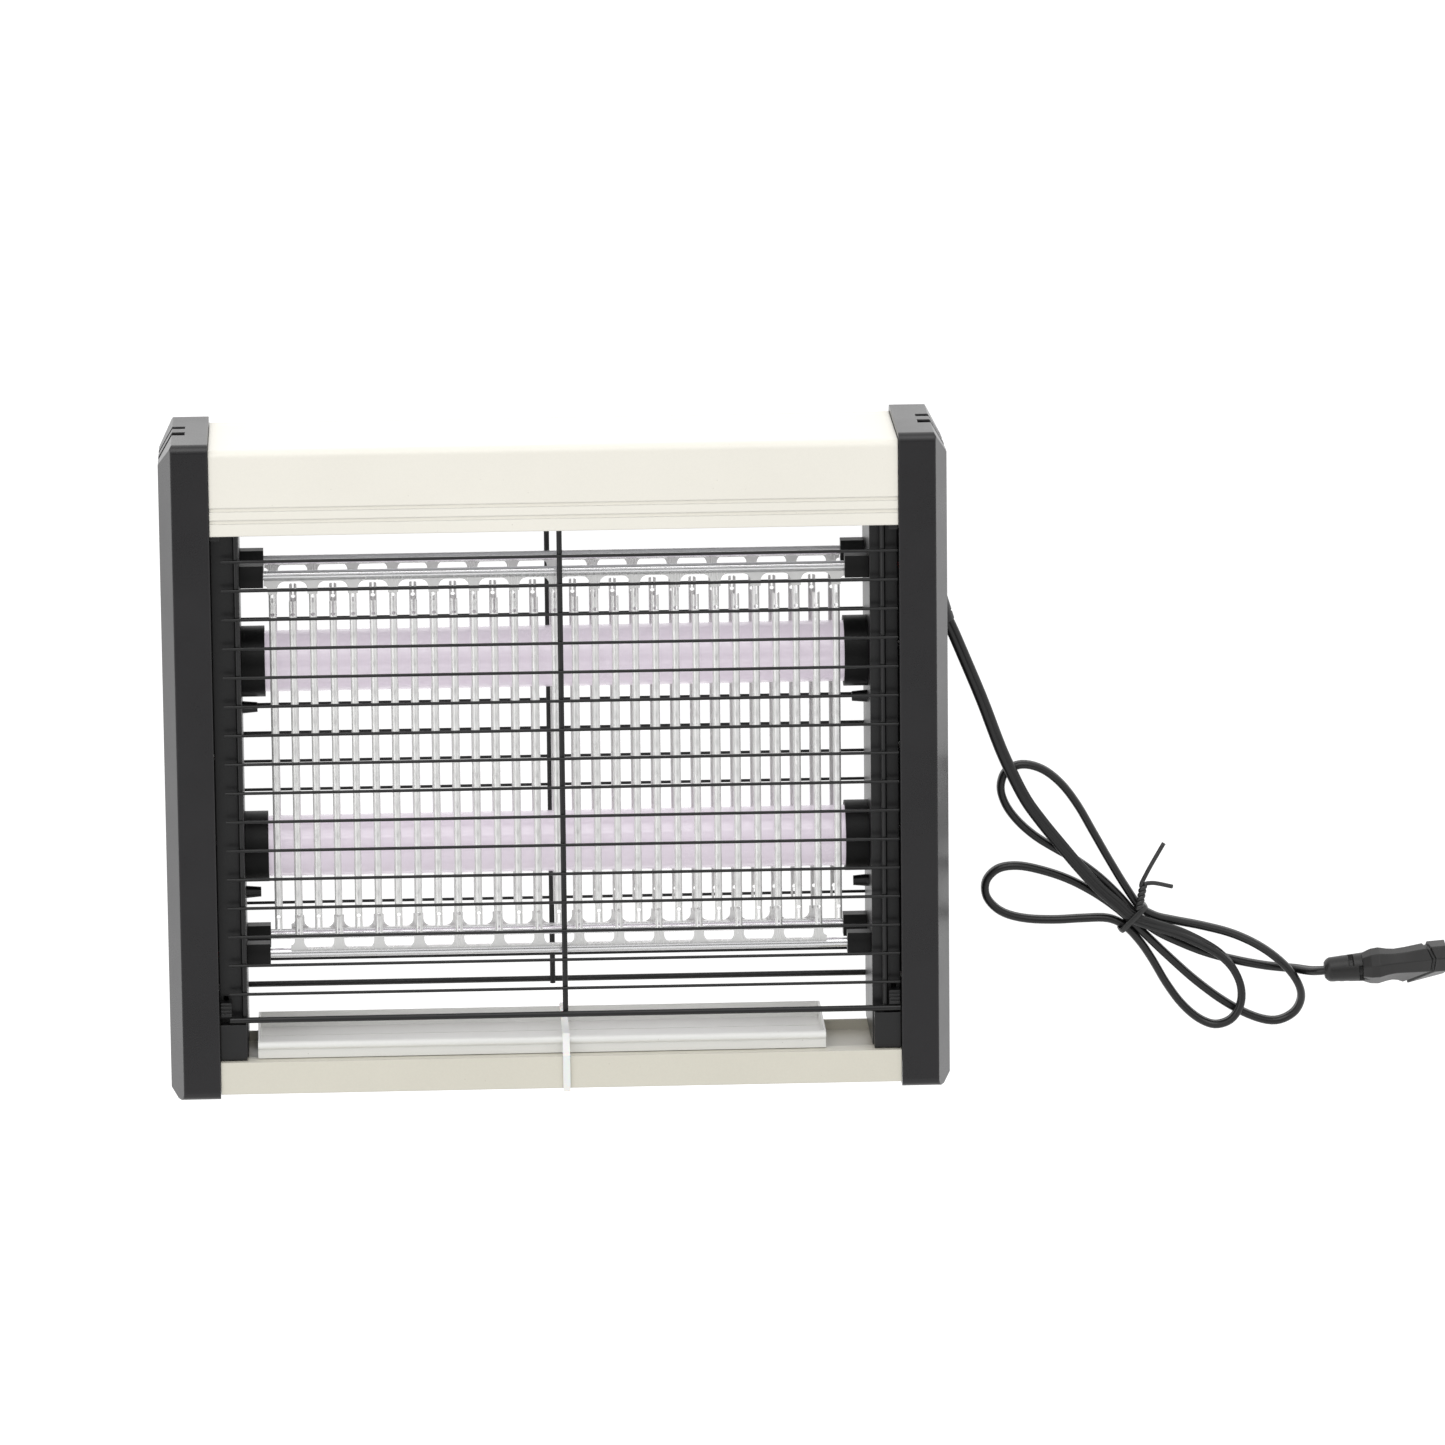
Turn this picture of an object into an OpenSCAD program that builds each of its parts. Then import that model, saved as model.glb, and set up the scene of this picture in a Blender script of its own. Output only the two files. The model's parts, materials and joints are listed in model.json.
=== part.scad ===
// Two-tube electric insect killer with a high-voltage grid, laid on its back.
// +X is its right side, +Y its top edge and +Z comes out of its front. Millimetres.

/* [Housing] */
// Width over the two end caps
body_w = 330; // [328:1:350]
// Height of the end caps
body_h = 281; // [280:1:290]
// Depth from the back to the front of the end caps
body_d = 72; // [72:1:78]
// Thickness of an end cap
cap_t = 21; // [20:1:22]
// Wall of the moulded end caps
cap_wall = 2.4; // [2:0.1:3]
// Height of the front face of the top cover
cover_h = 36.2; // [35:0.1:38]
// Height of the front face of the base channel
channel_h = 13.8; // [13:0.1:14]
// Depth of the base channel
channel_d = 56.2; // [54:0.1:57]
// Sheet thickness of the cover and the channel
sheet_t = 1; // [0.8:0.1:1.2]

/* [Lamps] */
// Diameter of a lamp tube
lamp_d = 26; // [24:0.5:26]
// Distance between the two lamp axes
lamp_pitch = 80; // [76:1:82]
// Diameter of a lamp holder
holder_d = 30; // [29:0.5:32]
// Distance between the two pins of a lamp
lamp_pin_pitch = 12.7; // [12:0.1:13]

/* [High-voltage grid] */
// Number of strips that hang from each upper comb
hanging_strips = 15; // [9:1:15]
// Distance between two strips of one comb
strip_pitch = 16.9; // [16:0.1:16.9]
// Width of a strip
strip_w = 3.1; // [2.6:0.1:3.4]
// Distance from the middle of the housing to each grid rod
rod_y = 81.3; // [80:0.1:82]
// Diameter of a grid rod
rod_d = 4; // [3:0.5:4]
// Distance from the lamp axes to each grid
grid_gap = 18.5; // [18:0.1:19]

/* [Wire grilles] */
// Number of thin cross wires
cross_wires = 16; // [12:1:16]
// Distance between two cross wires
wire_pitch = 12.38; // [12:0.01:12.38]
// Diameter of a cross wire
thin_wire_d = 1.3; // [1:0.1:1.6]
// Diameter of an upright wire
upright_d = 2.3; // [2:0.1:2.6]
// Diameter of the bottom wire and of the hinge wire
thick_wire_d = 2.5; // [2.2:0.1:2.6]

/* [Collecting tray] */
// Length of the tray
tray_w = 240; // [200:1:240]
// Height of the tray's walls
tray_h = 7.4; // [5:0.1:8]

/* [Hidden] */

$fn = 48;
eps = 0.01;
gap = 0.3;

half_w = body_w / 2;
half_h = body_h / 2;
cap_x = half_w - cap_t;
cover_top = half_h - 2.6;
cover_bottom = cover_top - cover_h;
channel_bottom = -half_h + 2.5;
channel_top = channel_bottom + channel_h;
front_z = body_d - 0.8;
back_z = 0.8;
mid_z = body_d / 2;

// Side panels and what they carry
panel_x = cap_x - 12;
panel_out = cap_x - gap;
panel_back = 9.5;
panel_front = body_d - 9.5;
panel_wall = 2.2;
floor_y = cover_bottom + 3.9;
block_top = -108.6;
lamp_mid_y = 1.3;
upper_lamp_y = lamp_mid_y + lamp_pitch / 2;
lower_lamp_y = lamp_mid_y - lamp_pitch / 2;
holder_x = panel_x - 10;
lamp_end_x = holder_x + 6.5;
peg_drop = 19.8;

// Grid planes
front_grid_z = mid_z + grid_gap;
rear_grid_z = mid_z - grid_gap;
comb_edge = rod_y - 1.7;
strip_end = 72;
strip_wall = 0.45;
dot_y = 65;

// Grilles
hinge_y = cover_bottom + 1.2;
grille_z = body_d - 6;
cross_z = grille_z + upright_d / 2 + thin_wire_d / 2 - 0.2;
thick_z = grille_z + upright_d / 2 + thick_wire_d / 2 - 0.2;
first_wire_y = 90.2;
bottom_wire_y = -106.6;
upright_end_y = -108;
grille_shift = 2;
upright_x = 135.3;
wire_half = 141.5;

// Latches
latch_x0 = panel_x + 6.8;
latch_x1 = cap_x - 0.6;
latch_y0 = -104.9;
latch_y1 = -99;

// Collecting tray
tray_x0 = -128;
tray_y = channel_top + gap;
tray_back = front_z - channel_d - 2;
tray_front = front_z - 5.2;
tray_t = 0.8;

// Flat cord and plug
cord_w = 5.4;
cord_t = 3.4;
cord_sides = 10;
exit_point = [165, 54, 13.6];
plug_start = [331, -106.2, 17];
plug_turn = 3.8;
plug_lean = 65;

// Route of the cord's middle line: from the housing through four loops to the plug. It passes its tie five times.
cord_route = [
    exit_point, [168.8, 46.7, 12.7], [173.5, 35.6, 11.8], [182.6, 13.1, 10], [190, -7.2, 8.4], [194.6, -18, 7.4],
    [201.3, -31.4, 7.1], [208.2, -41.3, 7.1], [216.3, -51.6, 7.1], [223.6, -60.6, 7.1], [232.3, -70.4, 7.3],
    [239.8, -77.2, 8], [247, -83.6, 8.5], [256, -87.2, 8.6], [266, -90.6, 8], [275.8, -95.2, 8],
    [284.2, -100.4, 8.4], [290, -107, 8.4], [293.4, -115, 8.3], [293.2, -123, 8.2], [289.2, -129.4, 7.8],
    [282.6, -132, 6], [275.8, -129.8, 4], [268.6, -123.6, 2.8], [261.8, -114.2, 2.7], [255.4, -103, 2.7],
    [249.8, -94.6, 3.6], [243.3, -87.7, 4.1], [236.6, -84.9, 3.2], [226.4, -84.8, 2.7], [213.1, -85.2, 2.7],
    [200, -84.2, 2.7], [190.4, -80.9, 2.7], [184.6, -74.6, 2.7], [184.4, -67.6, 2.7], [189.4, -62.4, 2.7],
    [197.6, -61.2, 2.7], [208, -63.3, 2.7], [219.4, -67.4, 2.7], [229.6, -72.9, 2.7], [238.4, -78.9, 3.4],
    [245.8, -85.2, 4.1], [253.6, -93.2, 3.4], [263, -102.6, 2.7], [274.4, -113.2, 2.7], [287.2, -123, 2.7],
    [299.4, -129.6, 2.7], [309, -131.6, 2.7], [316.6, -128.2, 2.9], [319.6, -121, 6], [317.6, -113, 9.8],
    [312, -105.4, 10.2], [302.6, -98.2, 7.4], [290.8, -92.8, 4.2], [277.6, -89.2, 2.8], [264, -86.2, 3],
    [256.9, -84.2, 3.6], [250.7, -80.3, 4.1], [244.4, -71.4, 3.3], [237.4, -59.6, 2.7], [230.2, -46.6, 2.7],
    [223.6, -34.8, 2.7], [216.6, -25.4, 2.7], [208.6, -19, 2.7], [200, -16.8, 2.7], [193.2, -19.6, 2.7],
    [190.8, -26.4, 2.7], [192.8, -34, 2.7], [198, -41.4, 2.7], [205.4, -48.2, 2.7], [214, -53.8, 2.7],
    [223.4, -59.4, 2.7], [232.8, -66.6, 2.9], [241, -74.6, 3.5], [248.2, -82.8, 4.1], [256.4, -90.2, 3.3],
    [266.2, -95.6, 2.7], [279, -101, 2.7], [292.4, -104.8, 2.7], [304, -107.2, 2.7], [312.6, -108.3, 2.8],
    [317, -108.4, 4.6], [322.6, -108, 10.6], [326.8, -107.1, 15], plug_start
];

// The cord's wide side faces up as far as point 12 and stands upright from point 17
twist_from = 12;
twist_to = 17;

cap_color = [0.20, 0.20, 0.21];
cream = [0.93, 0.92, 0.88];
channel_color = [0.87, 0.85, 0.80];
steel = [0.78, 0.78, 0.77];
black = [0.10, 0.10, 0.11];
tray_color = [0.82, 0.82, 0.82];

// ---- general shapes ----

// A box between two opposite corners
module box(a, b) {
    translate(a)
        cube(b - a);
}

// A flat outline in Y and Z, made solid between two X positions
module along_x(x0, x1) {
    translate([x0, 0, 0])
        rotate([90, 0, 90])
            linear_extrude(x1 - x0)
                children();
}

// A flat outline in X and Z, made solid between two Y positions
module along_y(y0, y1) {
    translate([0, y1, 0])
        rotate([90, 0, 0])
            linear_extrude(y1 - y0)
                children();
}

// A flat rectangle with round corners, between two opposite corners
module rounded_rect(x0, y0, x1, y1, r) {
    translate([x0 + r, y0])
        square([x1 - x0 - 2 * r, y1 - y0]);
    translate([x0, y0 + r])
        square([x1 - x0, y1 - y0 - 2 * r]);
    for (x = [x0 + r, x1 - r])
        for (y = [y0 + r, y1 - r])
            translate([x, y])
                circle(r);
}

// A round bar along X
module bar_x(x0, x1, y, z, d) {
    translate([x0, y, z])
        rotate([0, 90, 0])
            cylinder(h = x1 - x0, d = d);
}

// A round bar along Y
module bar_y(x, y0, y1, z, d) {
    translate([x, y1, z])
        rotate([90, 0, 0])
            cylinder(h = y1 - y0, d = d);
}

// A round bar between two points
module bar(p, q, d) {
    v = q - p;
    translate(p)
        rotate([0, acos(v.z / norm(v)), atan2(v.y, v.x)])
            cylinder(h = norm(v), d = d, $fn = 16);
}

// An insulated lead through a list of points
module lead(points, d) {
    for (i = [0 : len(points) - 2])
        bar(points[i], points[i + 1], d);
    for (i = [1 : len(points) - 2])
        translate(points[i])
            sphere(d = d, $fn = 16);
}

// The same shape on the left, as its mirror image
module on_side(side) {
    if (side > 0)
        children();
    else
        mirror([1, 0, 0])
            children();
}

// ---- housing ----

groove_w = 1.6;
groove_deep = 0.5;

module top_cover() {
    color(cream)
        difference() {
            along_x(-cap_x + 0.2, cap_x - 0.2)
                rounded_rect(cover_bottom - 5, back_z, cover_top, front_z, 3.2);
            along_x(-cap_x - 1, cap_x + 1)
                rounded_rect(cover_bottom - 10, back_z + sheet_t, cover_top - sheet_t, front_z - sheet_t, 2.2);
            for (y = [cover_bottom + 6, cover_bottom + 11.2])
                box([-cap_x - 1, y - groove_w / 2, front_z - groove_deep], [cap_x + 1, y + groove_w / 2, front_z + 1]);
            box([-cap_x - 1, cover_bottom - 6, 0], [cap_x + 1, cover_bottom, body_d]);
            floor_screw_holes();
        }
}

floor_screw_x = 120;

module floor_screw_holes() {
    for (x = [-floor_screw_x, floor_screw_x])
        translate([x, floor_y + 5, 0])
            cylinder(h = 2.1 + 2 * sheet_t, d = 3.4);
}

// Closes the electronics space from below, with turned-up flanges at front and back
module housing_floor() {
    color(steel)
        difference() {
            box([-cap_x + 0.4, floor_y, 2.1], [cap_x - 0.4, floor_y + 9, front_z - sheet_t - gap]);
            box([-cap_x - 1, floor_y + sheet_t, 2.1 + sheet_t], [cap_x + 1, floor_y + 10, front_z - 2 * sheet_t - gap]);
            floor_screw_holes();
        }
}

// Screws through the back of the cover into the floor's rear flange
module housing_screws() {
    color(steel)
        for (x = [-floor_screw_x, floor_screw_x])
            translate([x, floor_y + 5, 0]) {
                translate([0, 0, 0.1])
                    difference() {
                        cylinder(h = back_z - 0.1, d = 6);
                        box([-2.2, -0.4, -1], [2.2, 0.4, 0.3]);
                    }
                translate([0, 0, back_z - eps])
                    cylinder(h = 7, d = 2.9);
            }
}

chamfer_x = 5.5;
chamfer_z = 15;
corner_x = 6;
corner_y = 10.5;
cap_round = 3.5;
cap_screw_y = [-100, 0, 95];

// Outside of the right end cap, shrunk by t on every outer side
module cap_form(t) {
    intersection() {
        along_y(-half_h + t, half_h - t)
            polygon([[cap_x, t], [half_w - chamfer_x - t * 0.8, t], [half_w - t, chamfer_z + t * 0.2],
                     [half_w - t, body_d - chamfer_z - t * 0.2], [half_w - chamfer_x - t * 0.8, body_d - t],
                     [cap_x, body_d - t]]);
        linear_extrude(body_d)
            polygon([[cap_x, -half_h + t], [half_w - 3 - t, -half_h + t], [half_w - t, -half_h + 3 + t],
                     [half_w - t, half_h - corner_y - t], [half_w - corner_x - t, half_h - t], [cap_x, half_h - t]]);
        along_x(cap_x, half_w)
            rounded_rect(-half_h + t, t, half_h - t, body_d - t, cap_round);
    }
}

slot_z = [mid_z - 7, mid_z + 7];
slot_w = [5, 7];
slot_deep = 5.4;

// Two slots over the outer top corner take a chain or hook round the bar between them
module hanging_slots() {
    for (i = [0, 1])
        box([half_w - corner_x - slot_deep, half_h - 12, slot_z[i] - slot_w[i] / 2],
            [half_w + 1, half_h + 1, slot_z[i] + slot_w[i] / 2]);
}

module end_cap(side) {
    color(cap_color)
        on_side(side)
            difference() {
                union() {
                    difference() {
                        cap_form(0);
                        translate([-eps, 0, 0])
                            cap_form(cap_wall);
                    }
                    for (y = cap_screw_y)
                        bar_x(cap_x + 3, half_w - 1, y, mid_z, 8);
                }
                for (y = cap_screw_y) {
                    bar_x(cap_x - 1, half_w + 1, y, mid_z, 3.4);
                    bar_x(half_w - 3, half_w + 1, y, mid_z, 6.6);
                }
                hanging_slots();
                if (side > 0)
                    cord_hole();
            }
}

// From the foot of the strain relief, inside the cap, to the cord's exit
relief_in = [6, -15, -1.4];

// Opening in the right cap where the cord's strain relief sits
module cord_hole() {
    translate(exit_point - relief_in)
        rotate(relief_turn)
            translate([0, 0, -3])
                cylinder(h = 34, d = 12.4);
}

module cap_screws() {
    color(steel)
        for (side = [-1, 1])
            on_side(side)
                for (y = cap_screw_y) {
                    bar_x(cap_x - 8, half_w - 2.9, y, mid_z, 2.9);
                    difference() {
                        bar_x(half_w - 3, half_w - 1, y, mid_z, 6);
                        box([half_w - 1.8, y - 2.2, mid_z - 0.4], [half_w, y + 2.2, mid_z + 0.4]);
                        box([half_w - 1.8, y - 0.4, mid_z - 2.2], [half_w, y + 0.4, mid_z + 2.2]);
                    }
                }
}

// ---- side panels ----

lug_x = cap_x - 4.2;

module hinge_lug() {
    box([lug_x, hinge_y - 3.4, panel_front - 2], [panel_out, floor_y - gap, grille_z + 3.3]);
}

module panel_peg(y) {
    translate([panel_x + 0.5, y, mid_z])
        rotate([0, -90, 0])
            cylinder(h = 6.9, d1 = 5.4, d2 = 4.2);
}

module side_panel(side) {
    color(black)
        on_side(side)
            difference() {
                union() {
                    difference() {
                        box([panel_x, channel_top + gap, panel_back], [panel_out, floor_y - gap, panel_front]);
                        box([panel_x + panel_wall, channel_top + gap + panel_wall, panel_back + panel_wall],
                            [panel_out + 1, floor_y - gap - panel_wall, panel_front - panel_wall]);
                    }
                    for (y = [upper_lamp_y - peg_drop, lower_lamp_y - peg_drop])
                        panel_peg(y);
                    hinge_lug();
                    mirror_z()
                        hinge_lug();
                    box([panel_x + 0.5, channel_top + gap, panel_front - 1], [panel_out, block_top, panel_front + 6]);
                    mirror_z()
                        box([panel_x + 0.5, channel_top + gap, panel_front - 1], [panel_out, block_top, panel_front + 1]);
                    for (y = cap_screw_y)
                        bar_x(panel_x + 1, panel_out, y, mid_z, 8);
                }
                for (y = [upper_lamp_y, lower_lamp_y])
                    bar_x(panel_x - 1, panel_x + panel_wall + 1, y, mid_z, 20.4);
                for (y = cap_screw_y)
                    bar_x(panel_x + 3, cap_x, y, mid_z, 3.1);
                bar_x(lug_x - 1, cap_x, hinge_y, grille_z, thick_wire_d + 0.14);
                bar_x(lug_x - 1, cap_x, hinge_y, body_d - grille_z, thick_wire_d + 0.14);
                box([latch_x0 + 1.2, latch_y0 - gap, panel_front - 4], [latch_x1 - 1.2, latch_y1 + 1.6, panel_front + 1]);
            }
}

module mirror_z() {
    translate([0, 0, body_d])
        mirror([0, 0, 1])
            children();
}

// ---- base channel ----

lip_deep = 9.2;

module base_channel() {
    back = front_z - channel_d;
    color(channel_color)
        difference() {
            box([-cap_x + 0.2, channel_bottom, back], [cap_x - 0.2, channel_top, front_z]);
            // hollow under the shelf
            box([-cap_x - 1, channel_bottom - 1, back + sheet_t], [cap_x + 1, channel_top - 5.6, front_z - sheet_t]);
            // trough above the shelf
            box([-cap_x - 1, channel_top - 4.5, back + sheet_t], [cap_x + 1, channel_top - sheet_t, front_z - sheet_t]);
            box([-cap_x - 1, channel_top - 4.5, back + sheet_t], [cap_x + 1, channel_top + 1, front_z - lip_deep]);
        }
}

// ---- lamps and holders ----

chamber_d = 17.6;

module lamp_holder(side, y) {
    color(black)
        on_side(side)
            difference() {
                union() {
                    bar_x(holder_x, panel_x - 0.05, y, mid_z, holder_d);
                    bar_x(panel_x - 0.1, panel_x + 8.5, y, mid_z, 20);
                }
                bar_x(holder_x - 1, lamp_end_x + 0.4, y, mid_z, lamp_d + 0.8);
                bar_x(holder_x, panel_x + 7, y, mid_z, chamber_d);
            }
}

lamp_cap_l = 6;

module lamp_tube(y) {
    color([0.88, 0.84, 0.90])
        difference() {
            bar_x(-lamp_end_x + lamp_cap_l, lamp_end_x - lamp_cap_l, y, mid_z, lamp_d);
            bar_x(-lamp_end_x, lamp_end_x, y, mid_z, lamp_d - 1.8);
        }
}

module lamp_end_caps(y) {
    color(steel)
        for (side = [-1, 1])
            on_side(side)
                union() {
                    difference() {
                        bar_x(lamp_end_x - lamp_cap_l, lamp_end_x, y, mid_z, lamp_d - 0.2);
                        bar_x(lamp_end_x - lamp_cap_l - 1, lamp_end_x - 1, y, mid_z, lamp_d - 1.6);
                    }
                    for (z = [-1, 1])
                        bar_x(lamp_end_x - 0.5, lamp_end_x + 7, y, mid_z + z * lamp_pin_pitch / 2, 2.35);
                }
}

// ---- wire grilles ----

// Welded wires of a grille, with all but its top wire moved sideways
module grille_wires(shift) {
    for (x = [-upright_x, 0, upright_x])
        bar_y(x + shift, upright_end_y, hinge_y, grille_z, upright_d);
    for (i = [0 : cross_wires - 1])
        bar_x(shift - wire_half, shift + wire_half, first_wire_y - i * wire_pitch, cross_z, thin_wire_d);
    bar_x(shift - wire_half, shift + wire_half, bottom_wire_y, thick_z, thick_wire_d);
    bar_x(-cap_x + 0.6, cap_x - 0.6, hinge_y, grille_z, thick_wire_d);
}

module front_grille() {
    color(black)
        grille_wires(grille_shift);
}

module rear_grille() {
    color(black)
        mirror_z()
            grille_wires(-grille_shift);
}

// ---- high-voltage grid ----

// Cross-section of a strip: a half-round gutter whose round side faces out
module strip_outline() {
    difference() {
        union() {
            circle(d = strip_w, $fn = 24);
            translate([-strip_w / 2, -0.7])
                square([strip_w, 0.7]);
        }
        circle(d = strip_w - 2 * strip_wall, $fn = 24);
        translate([-strip_w / 2 + strip_wall, -2])
            square([strip_w - 2 * strip_wall, 2]);
        translate([-strip_w, -strip_w - 0.7])
            square([2 * strip_w, strip_w]);
    }
}

// One strip from y0 to y1 with a notch and a hole by each end
module strip(x, y0, y1) {
    difference() {
        translate([x, 0, 0])
            along_y(y0, y1)
                strip_outline();
        for (y = [dot_y, -dot_y])
            translate([x, y, 0])
                cylinder(h = 4, d = 1.7, $fn = 10);
        for (y = [y0 - 0.4, y1 - 4.6])
            translate([x - 0.4, y, 0])
                cube([0.8, 5, 4]);
    }
}

arch_w = 12.6;
arch_h = 3.3;
neck_y = 73.8;
comb_t = 0.6;

// Upper comb of a grid whose strips have their axes at Z = 0: bar, arches, teeth and strips
module hanging_comb(count) {
    half = (count - 1) / 2 * strip_pitch;
    top_z = strip_w / 2;
    difference() {
        union() {
            box([-half - 3.4, neck_y, top_z - comb_t], [half + 3.4, comb_edge, top_z]);
            box([-half - 3.4, comb_edge - comb_t, -1.6], [half + 3.4, comb_edge, top_z]);
        }
        for (i = [0 : count - 2])
            translate([-half + (i + 0.5) * strip_pitch, 0, 0])
                linear_extrude(4) {
                    rounded_rect(-arch_w / 2, neck_y - 8, arch_w / 2, neck_y + 2.1 + arch_h, 3.2);
                }
        for (s = [-1, 1])
            translate([s * (half + 4.7), 0, 0])
                linear_extrude(4)
                    rounded_rect(-2.8, neck_y - 8, 2.8, neck_y + 3.6, 1.5);
    }
    for (i = [0 : count - 1])
        strip(-half + i * strip_pitch, -strip_end + 1.5, neck_y + 1);
}

module comb_pair_half(turned, count) {
    color(steel)
        if (turned)
            mirror([0, 1, 0])
                hanging_comb(count);
        else
            hanging_comb(count);
}

module front_comb(turned, count) {
    translate([0, 0, front_grid_z])
        comb_pair_half(turned, count);
}

module rear_comb(turned, count) {
    mirror_z()
        front_comb(turned, count);
}

rod_x = panel_x - 1.5;
rod_drop = 1.6;
front_rod_z = front_grid_z - rod_drop;
post_x = panel_x - 10;
post_h = 9.3;

module grid_rod(y, z) {
    color(steel)
        bar_x(-rod_x, rod_x, y, z, rod_d);
}

// Posts that carry the ends of the rods
module insulators(side) {
    color(black)
        on_side(side)
            for (y = [-rod_y, rod_y])
                for (z = [front_rod_z, body_d - front_rod_z])
                    difference() {
                        box([post_x, y - post_h / 2, z - 3.6], [panel_x - 0.05, y + post_h / 2, z + 3.6]);
                        bar_x(post_x - 1, rod_x + 0.5, y, z, rod_d + 0.1);
                    }
}

// ---- latches ----

module latch(side) {
    color(black)
        on_side(side)
            difference() {
                union() {
                    box([latch_x0, latch_y0, panel_front + 0.4], [latch_x1, latch_y1, panel_front + 6.4]);
                    box([latch_x0 + 1.6, latch_y0 + gap, panel_front - 3.4], [latch_x1 - 1.6, latch_y1 - 1, panel_front + 0.5]);
                }
                for (i = [0 : 2])
                    box([latch_x0 - 1, latch_y0 + 1.2 + i * 1.6, panel_front + 5.8],
                        [latch_x1 + 1, latch_y0 + 2 + i * 1.6, panel_front + 7]);
            }
}

// ---- collecting tray ----

module collecting_tray() {
    roll = 1.7;
    color(tray_color)
        difference() {
            union() {
                box([tray_x0, tray_y, tray_back], [tray_x0 + tray_w, tray_y + tray_h, tray_front]);
                bar_x(tray_x0, tray_x0 + tray_w, tray_y + tray_h - roll, tray_front, 2 * roll);
            }
            box([tray_x0 + tray_t, tray_y + tray_t, tray_back + tray_t],
                [tray_x0 + tray_w - tray_t, tray_y + tray_h + 1, tray_front - tray_t]);
            box([tray_x0 + 1, tray_y + tray_t - 0.3, tray_back + 16], [tray_x0 + tray_w - 1, tray_y + 2, tray_back + 17]);
        }
}

tie_t = 0.9;
tie_w = 3;
tie_x = 0.5;

// Transit tie round the tray and the channel, as a closed band
module tray_tie() {
    low = channel_bottom - 0.4;
    high = tray_y + tray_h + 0.4;
    back = tray_back - 0.6;
    fore = tray_front + 2.2;
    face = front_z + 0.4;
    color([0.95, 0.95, 0.94])
        along_x(tie_x, tie_x + tie_w)
            difference() {
                polygon([[low - tie_t, back - tie_t], [high, back - tie_t], [high + tie_t, back],
                         [high + tie_t, fore - 1], [channel_top + 0.6, face + tie_t], [low - tie_t, face + tie_t]]);
                polygon([[low, back], [high, back], [high, fore - 1.4], [channel_top, face], [low, face]]);
            }
}

// ---- electronics ----

inner_floor = floor_y + sheet_t + gap;

module transformer_core() {
    color([0.35, 0.35, 0.37])
        difference() {
            box([-32, inner_floor, 16], [14, inner_floor + 22, 54]);
            for (z = [21, 41])
                box([-26, inner_floor - 1, z], [8, inner_floor + 23, z + 8]);
        }
}

module transformer_coil() {
    color([0.75, 0.45, 0.2])
        difference() {
            box([-25, inner_floor + 0.5, 21.3], [7, inner_floor + 24, 48.7]);
            box([-28, inner_floor - 1, 28.7], [10, inner_floor + 22.3, 41.3]);
        }
}

module lamp_ballast(x0) {
    color([0.85, 0.85, 0.83])
        union() {
            box([x0, inner_floor, 22], [x0 + 44, inner_floor + 24, 50]);
            box([x0 - 7, inner_floor, 28], [x0 + 51, inner_floor + 1.5, 44]);
        }
}

module lamp_starters() {
    color([0.92, 0.92, 0.9])
        for (x = [-130, -107])
            translate([x, inner_floor + 11.5, 18])
                union() {
                    cylinder(h = 34, d = 21);
                    for (s = [-5, 5])
                        translate([s, 0, -4])
                            cylinder(h = 5, d = 4.4);
                }
}

board_y = inner_floor + 5;

module circuit_board() {
    color([0.2, 0.45, 0.25])
        union() {
            box([18, board_y, 10], [62, board_y + 1.6, 62]);
            for (x = [22, 58])
                for (z = [14, 58])
                    bar_y(x, inner_floor, board_y + 0.5, z, 5);
        }
}

module board_capacitors() {
    color([0.25, 0.3, 0.6])
        for (i = [0 : 2])
            bar_y(28 + i * 12, board_y + 1.7, board_y + 17, 24, 10);
}

module board_diodes() {
    color([0.12, 0.12, 0.12])
        for (i = [0 : 3])
            translate([28 + i * 8, board_y + 3.4, 44])
                cylinder(h = 8, d = 3.2);
}

module terminal_block() {
    color([0.9, 0.9, 0.86])
        difference() {
            box([126, inner_floor, 20], [142, inner_floor + 15, 50]);
            for (i = [0 : 2])
                bar_y(134, inner_floor + 6, inner_floor + 16, 25 + i * 10, 5);
        }
}

lead_d = 2.2;

// Leads from the ballasts down inside the end caps to the lamp holders
module lamp_leads() {
    color([0.9, 0.9, 0.9])
        for (side = [-1, 1])
            on_side(side)
                for (i = [0, 1])
                    let (x = cap_x + 4 + i * 3, z = mid_z - 16 - i * 4,
                         y = i == 0 ? upper_lamp_y : lower_lamp_y)
                        lead([[cap_x - 2, 112 + i * 4, z], [x, 112 + i * 4, z], [x, y, z], [panel_x + 9.8, y, z + 12 + i * 4]],
                             lead_d);
}

// Leads to the live rods, behind the side panels
module grid_leads() {
    color([0.8, 0.15, 0.12])
        for (side = [-1, 1])
            on_side(side)
                lead([[cap_x - 2, 112, front_rod_z], [cap_x + 4, 112, front_rod_z],
                      [cap_x + 4, side * rod_y, front_rod_z], [panel_x + 4, side * rod_y, front_rod_z]], lead_d);
}

// The stripped end of the cord runs up inside the right cap to the terminal block
module mains_leads() {
    color([0.25, 0.35, 0.7])
        for (i = [0, 1])
            let (x = half_w - 6.4 - i * 2.8)
                lead([[x, 84, 22], [x, 115 + i * 4, 22], [cap_x - 1, 115 + i * 4, 22 + i]], lead_d);
}

module cord_clamp() {
    color(black)
        difference() {
            box([half_w - 12.4, 88, 16], [half_w - 3, 94, 28]);
            box([half_w - 11.4, 87, 19], [half_w - 5, 95, 25]);
        }
}

// ---- power cord ----

relief_turn = [95, 0, 22];
relief_l = 22;

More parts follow.
